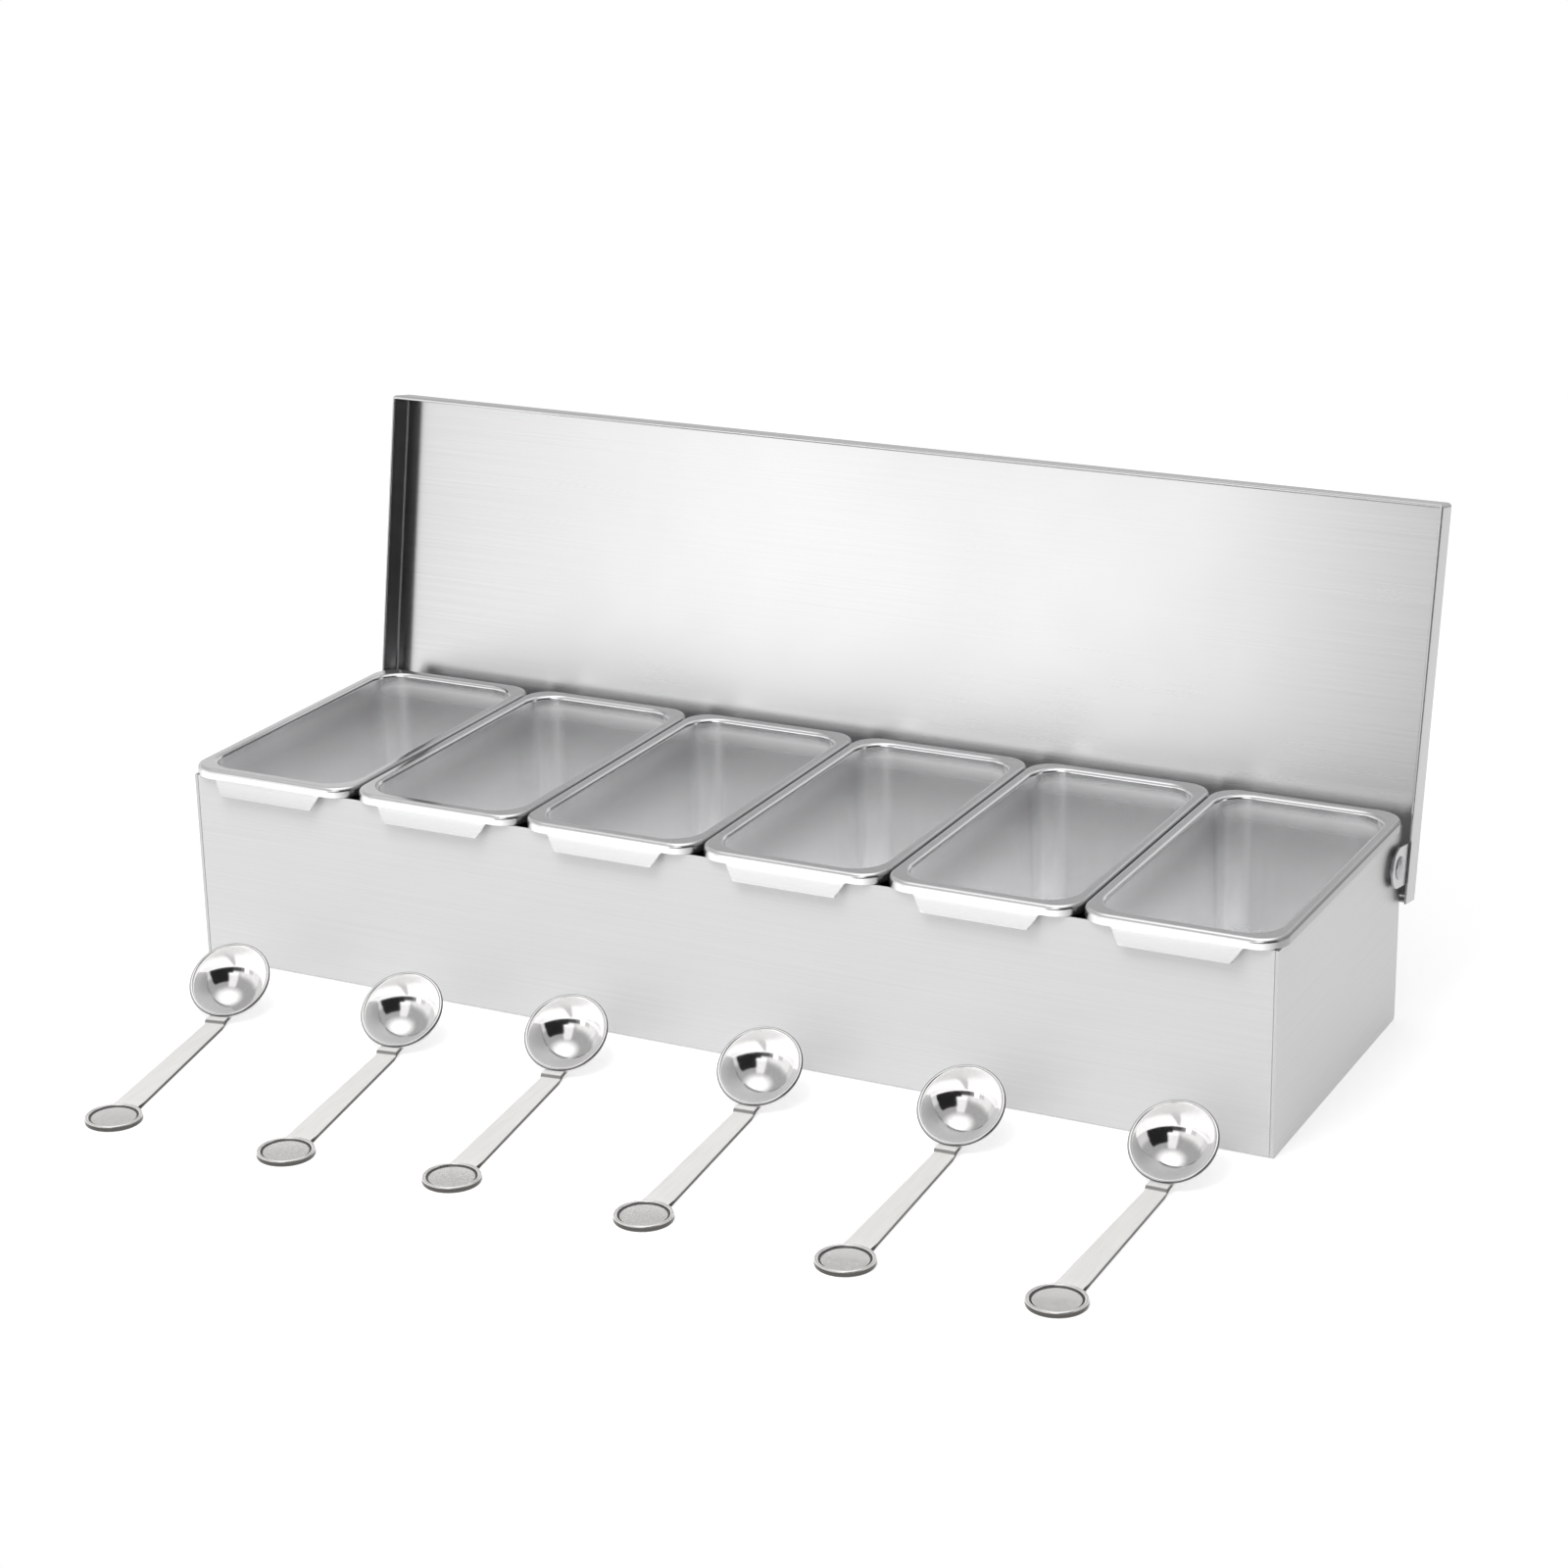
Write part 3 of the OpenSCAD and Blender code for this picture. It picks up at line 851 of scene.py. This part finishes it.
def add_rear_lip(verts, faces, left, right):
    """The short rear flange, bent down from the panel's rear edge."""
    line = [left, right]
    for inset, y in lid_edge()[0][1:] + [(0, LID_LIP_TIP)]:
        base = len(verts)
        for i in (left, right):
            verts.append((verts[i][0], y, -LID_REAR + inset))
        faces.append([line[0], line[1], base + 1, base])
        line = [base, base + 1]


def lid():
    verts, faces = moved(lid_mesh(), ON_LID)
    nodes = ["lid_panel", "lid_flange_front", "lid_flange_rear"]
    nodes += ["lid_flange_left", "lid_flange_right"]
    piece = add_piece("lid_sheet", verts, faces, "lid", "lid_steel", lid_steel, nodes)
    make_consistent(piece)
    panel = max(piece.data.polygons, key=lambda f: f.area)
    if panel.normal.y < 0:
        piece.data.flip_normals()
    map_grain(piece, 0)
    thicken(piece, LID_SHEET)
    break_edges(piece, LID_BREAK)


# Hinges


RIVET_SEGMENTS = 64
TAIL_CHAMFER = 0.4
HEAD_CHAMFER = 0.15
DOME_MARGIN = 1.5


def hinges():
    for side, word in ((-1, "left"), (1, "right")):
        node_copy(
            "hinge_lug_%s_plate" % word, "hinge_lug_" + word, LUG_BREAK,
            "lid", lug_steel)
        node_copy(
            "spacer_%s_ring" % word, "spacer_" + word, SPACER_BREAK,
            "case", rivet_steel)
        rivet(side, word)


def rivet(side, word):
    """Hinge rivet: a flat dome outside, the shank, and the formed head inside."""
    tail = CASE_HALF_W - END_SHEET - WELD_GAP
    tail_end = tail - RIVET_TAIL_H
    head = LUG_OUT + WELD_GAP
    ball = (RIVET_HEAD_R ** 2 + RIVET_HEAD_H ** 2) / (2 * RIVET_HEAD_H)
    rim = 90 - math.degrees(math.asin(RIVET_HEAD_R / ball))
    profile = [(0, tail_end), (RIVET_HEAD_R - TAIL_CHAMFER, tail_end)]
    profile += [(RIVET_HEAD_R, tail_end + TAIL_CHAMFER), (RIVET_HEAD_R, tail)]
    profile += [(RIVET_R, tail), (RIVET_R, head), (RIVET_HEAD_R - HEAD_CHAMFER, head)]
    dome = arc(0, head + RIVET_HEAD_H - ball, ball, rim + DOME_MARGIN, 90, steps=8)
    profile += dome[:-1] + [(0, head + RIVET_HEAD_H)]
    outwards = Matrix.Rotation(side * math.pi / 2, 4, "Y")
    turn = Matrix.Translation((0, PIVOT_Y, PIVOT_Z)) @ outwards
    verts, faces = moved(revolve(profile, RIVET_SEGMENTS), turn)
    node = "pivot_rivet_" + word
    piece = add_piece(node + "_pin", verts, faces, "case", "rivet_steel", rivet_steel, [node])
    make_consistent(piece)
    break_edges(piece, RIVET_BREAK)


# Spoons


BOWL_SEGMENTS = 112
BOWL_ROWS = 30
BEAD_STEPS = 14
# Rows of the bowl's profile round the underside of its bead, which get painted shade.
BOWL_EDGE_ROWS = (38, 45)
ANGLE_STEP = 0.0005
NECK_ROWS = (0, 0.8, 2.6)
STRAP_EDGE_R = 0.55
WELD_OVERLAP = 0.45
DISC_SEGMENTS = 80
# Rows of the disc's profile in its groove, which get painted shade.
DISC_GROOVE_ROWS = (10, 15)
DISC_CROWN = 0.55
CROWN_MARGIN = 1.1
GROOVE_R = 0.5
DISC_EDGE_R = 0.4


def crossing(ball_r, cx, cy, r):
    """Angle up from the bottom of a ball's profile at which it meets a small circle."""
    a = 0.0
    while math.hypot(ball_r * math.sin(a) - cx, -ball_r * math.cos(a) - cy) > r:
        a += ANGLE_STEP
    return a


def ball_arc(ball_r, start, end):
    """Points of a ball's profile between two angles up from its bottom."""
    turn = spread(start, end, BOWL_ROWS)
    return [(ball_r * math.sin(a), -ball_r * math.cos(a)) for a in turn]


def bowl_mesh():
    """Polished bowl: the inside, the bead round its rim, and the outside."""
    ball = (BOWL_R ** 2 + BOWL_DEPTH ** 2) / (2 * BOWL_DEPTH)
    outer = ball + BOWL_SHEET
    cx, cy = BOWL_R + BOWL_SHEET / 2, BOWL_DEPTH - ball
    profile = ball_arc(ball, 0, crossing(ball, cx, cy, BEAD_R))
    underside = ball_arc(outer, crossing(outer, cx, cy, BEAD_R), 0)
    start = math.degrees(math.atan2(profile[-1][1] - cy, profile[-1][0] - cx))
    end = math.degrees(math.atan2(underside[0][1] - cy, underside[0][0] - cx))
    profile += arc(cx, cy, BEAD_R, start % 360, end, BEAD_STEPS)[1:-1]
    return revolve(profile + underside, BOWL_SEGMENTS), outer


def strap_section(half_w, low, high, edge_r):
    """Rounded section of the strap in (x, z)."""
    w = half_w - edge_r
    points = arc(w, high - edge_r, edge_r, 0, 90, steps=4)
    points += arc(-w, high - edge_r, edge_r, 90, 180, steps=4)
    points += arc(-w, low + edge_r, edge_r, 180, 270, steps=3)
    points += arc(w, low + edge_r, edge_r, 270, 360, steps=3)
    return points


def strap_heights(s):
    """Underside and top of the strap at a distance from the bowl's middle."""
    t = min(max((s - NECK_START) / NECK_LEN, 0), 1)
    low = (NECK_TOP_Z - HANDLE_T) * (1 - t)
    u = min(max((s - NECK_START - LEDGE_LEN) / STEP_LEN, 0), 1)
    step = u * u * (3 - 2 * u)
    return low, NECK_TOP_Z + (HANDLE_T - NECK_TOP_Z) * step


def on_bowl(ball, x, z):
    """Distance from the bowl's middle at which the strap's end meets the bowl."""
    across = math.sqrt(ball ** 2 - (ball - z) ** 2)
    return math.sqrt(max(across ** 2 - x ** 2, 1)) - WELD_OVERLAP


def strap_mesh(ball):
    """Strap from the bowl to the disc, with a ledge and a step down at its neck."""
    end = SPOON_LEN - DISC_R + DISC_RING_W / 2
    step = NECK_START + LEDGE_LEN
    neck_end = NECK_START + NECK_LEN
    stations = [NECK_START + s for s in NECK_ROWS]
    stations += spread(step, step + STEP_LEN, steps=8) + spread(neck_end, end, steps=12)
    verts = []
    count = 0
    for k, s in enumerate(stations):
        low, high = strap_heights(s)
        share = (s - NECK_START) / (SPOON_LEN - NECK_START)
        half_w = (NECK_W + (HANDLE_W - NECK_W) * share) / 2
        section = strap_section(half_w, low, high, STRAP_EDGE_R)
        count = len(section)
        for x, z in section:
            along = on_bowl(ball, x, z) if k == 0 else s
            verts.append((x, -along, z))
    faces = [list(range(count)), list(range(len(verts) - count, len(verts)))]
    return verts, faces + tube_faces(len(stations), count)


def disc_mesh():
    """End disc: a low dome inside a raised, rounded ring."""
    inner = DISC_R - DISC_RING_W
    half = DISC_RING_W / 2
    profile = [(0, DISC_T + DISC_CROWN)]
    for share in spread(0, 1, steps=10)[1:]:
        height = DISC_T + DISC_CROWN * (1 - share ** 2)
        profile.append((share * (inner - CROWN_MARGIN), height))
    profile += arc(inner - GROOVE_R, DISC_T + GROOVE_R, GROOVE_R, 270, 360, steps=4)
    profile += arc(inner + half, DISC_RING_H - half, half, 180, 0, steps=10)
    profile += arc(DISC_R - DISC_EDGE_R, DISC_EDGE_R, DISC_EDGE_R, 0, -90, steps=3)
    profile += [(0, 0)]
    return revolve(profile, DISC_SEGMENTS)


def spoons():
    bowl, ball = bowl_mesh()
    tip = Matrix.Translation((0, 0, ball)) @ Matrix.Rotation(BOWL_TILT, 4, "X")
    bowl = moved(bowl, tip)
    strap = strap_mesh(ball)
    disc = moved(disc_mesh(), Matrix.Translation((0, -SPOON_LEN, 0)))
    for k, (x, y, turn) in enumerate(SPOON_PLACES, 1):
        turned = Matrix.Rotation(math.radians(turn), 4, "Z")
        place = Matrix.Translation((x, y, 0)) @ turned
        spoon(k, moved(bowl, place), moved(strap, place), moved(disc, place))


def spoon(k, bowl, strap, disc):
    body = "spoon_%d" % k
    node = "spoon_bowl_%d" % k
    piece = add_piece(node + "_shell", *bowl, body, "bowl_steel", bowl_steel, [node])
    # Painted shade on the underside of the bowl's bead.
    rows_in(piece, painted_shade_steel, *BOWL_EDGE_ROWS, BOWL_SEGMENTS)
    make_consistent(piece)
    node = "spoon_handle_%d" % k
    piece = add_piece(node + "_strap", *strap, body, "handle_steel", handle_steel, [node])
    make_consistent(piece)
    flat_faces(piece)
    piece = add_piece(node + "_disc", *disc, body, "handle_steel", disc_steel, [node])
    # Painted shade in the disc's groove.
    rows_in(piece, painted_shade_steel, *DISC_GROOVE_ROWS, DISC_SEGMENTS)
    make_consistent(piece)


# Stage


FLOOR_X = (-1.1, 1.1)
FLOOR_Y = (-0.5, 1.3)
FLOOR_TONE = 0.75
FLOOR_LIFT = 0.52
FLOOR_ROUGH = 0.9

# Light and dark places of the studio: (azimuth from, to, elevation from, to, softness,
# strength). Azimuth is in degrees from -Y towards +X, and the strength is added.
STUDIO = [
    (-200, 200, -95, 20, 12, 0.35),
    (-200, 200, 62, 95, 26, 0.85),
    (-75, -8, -30, 26, 14, 0.22),
    (-30.5, -17.4, -14, 9, 5, 0.8),
    (-26, -22.5, -14, 9, 3, -0.55),
    (-46, -31, -14, 8, 4, -0.3),
    (-17.4, 16, -14, 9, 4, -0.72),
    (120, 200, -30, 18, 20, -0.2),
    (-200, -120, -30, 18, 20, -0.2),
    (17, 84, -30, 14, 6, -1.4),
    (30, 84, 2, 38, 10, -1.0),
    (0, 32, 12, 55, 10, 0.6),
]
STUDIO_BASE = 0.45
STUDIO_LEAST = 0.02

LAMP_AT = Vector((-0.06, -0.7, 1.0))
LAMP_AIM = Vector((0, -0.08, 0.04))
LAMP_SIZE = (0.6, 0.5)
LAMP_ENERGY = 5.2


def camera():
    """The photograph's camera: turned by its azimuth, then tipped down, then rolled."""
    data = bpy.data.cameras.new("camera")
    data.lens = CAMERA_LENS
    data.sensor_width = CAMERA_SENSOR
    data.clip_end = CAMERA_REACH
    obj = new_object("camera", data)
    tipped = Matrix.Rotation(math.pi / 2 - CAMERA_EL, 4, "X")
    turn = Matrix.Rotation(CAMERA_AZ, 4, "Z") @ tipped
    rolled = turn @ Matrix.Rotation(CAMERA_ROLL, 4, "Z")
    obj.matrix_world = Matrix.Translation(CAMERA_AT) @ rolled
    bpy.context.scene.camera = obj


def floor():
    """Plain white floor. Its own light only makes up the white background."""
    mesh = bpy.data.meshes.new("floor")
    (x0, x1), (y0, y1) = FLOOR_X, FLOOR_Y
    corners = [(x0, y0, 0), (x1, y0, 0), (x1, y1, 0), (x0, y1, 0)]
    mesh.from_pydata(corners, [], [(0, 1, 2, 3)])
    piece = new_object("floor", mesh)
    material = bpy.data.materials.new("floor")
    material.use_nodes = True
    tree = material.node_tree
    shader = tree.nodes["Principled BSDF"]
    shader.inputs["Base Color"].default_value = (*even(FLOOR_TONE), 1)
    shader.inputs["Roughness"].default_value = FLOOR_ROUGH
    shader.inputs["Specular IOR Level"].default_value = 0.0
    shader.inputs["Emission Color"].default_value = (1, 1, 1, 1)
    path = add(tree, "ShaderNodeLightPath")
    seen = sum_up(tree, "MAXIMUM", path.outputs["Is Camera Ray"], path.outputs["Is Glossy Ray"])
    seen = sum_up(tree, "MAXIMUM", seen, path.outputs["Is Transmission Ray"])
    lift = sum_up(tree, "MULTIPLY", seen, FLOOR_LIFT)
    tree.links.new(lift, shader.inputs["Emission Strength"])
    mesh.materials.append(material)


def soft_box(tree, azimuth, elevation, place):
    """1 inside a range of azimuth and elevation, 0 outside, with soft edges."""
    az0, az1, el0, el1, soft, strength = place
    result = None
    for value, low, high in ((azimuth, az0, az1), (elevation, el0, el1)):
        for edge, outside, inside in ((low, 0.0, 1.0), (high, 1.0, 0.0)):
            start, end = edge - soft / 2, edge + soft / 2
            out = ranged(tree, value, start, end, outside, inside, "SMOOTHSTEP")
            result = out if result is None else sum_up(tree, "MULTIPLY", result, out)
    return sum_up(tree, "MULTIPLY", result, strength)


def studio():
    """White to the camera, and a soft studio with a darker side to everything else."""
    world = bpy.data.worlds.new("studio")
    bpy.context.scene.world = world
    world.use_nodes = True
    tree = world.node_tree
    coords = add(tree, "ShaderNodeTexCoord")
    split = add(tree, "ShaderNodeSeparateXYZ")
    tree.links.new(coords.outputs["Generated"], split.inputs[0])
    x, y, z = split.outputs
    to_front = sum_up(tree, "MULTIPLY", y, -1.0)
    degrees = 180 / math.pi
    azimuth = sum_up(tree, "MULTIPLY", sum_up(tree, "ARCTAN2", x, to_front), degrees)
    elevation = sum_up(tree, "MULTIPLY", sum_up(tree, "ARCSINE", z), degrees)
    level = STUDIO_BASE
    for place in STUDIO:
        level = sum_up(tree, "ADD", soft_box(tree, azimuth, elevation, place), level)
    level = sum_up(tree, "MAXIMUM", level, STUDIO_LEAST)
    path = add(tree, "ShaderNodeLightPath")
    blend = add(tree, "ShaderNodeMix", data_type="FLOAT")
    fill(tree, blend, {0: path.outputs["Is Camera Ray"], 2: level, 3: 1.0})
    background = tree.nodes["Background"]
    background.inputs[0].default_value = (1, 1, 1, 1)
    tree.links.new(blend.outputs[0], background.inputs[1])


def key_lamp():
    """A soft lamp that lights the object and doesn't show in its reflections."""
    data = bpy.data.lights.new("key", "AREA")
    data.shape = "RECTANGLE"
    data.size, data.size_y = LAMP_SIZE
    data.energy = LAMP_ENERGY
    obj = new_object("key", data)
    obj.location = LAMP_AT
    obj.rotation_euler = (LAMP_AIM - LAMP_AT).to_track_quat("-Z", "Y").to_euler()
    obj.visible_glossy = False


camera()
case_shell()
end_plates()
pans()
lid()
hinges()
spoons()
floor()
studio()
key_lamp()
bpy.context.scene.view_settings.view_transform = "Standard"
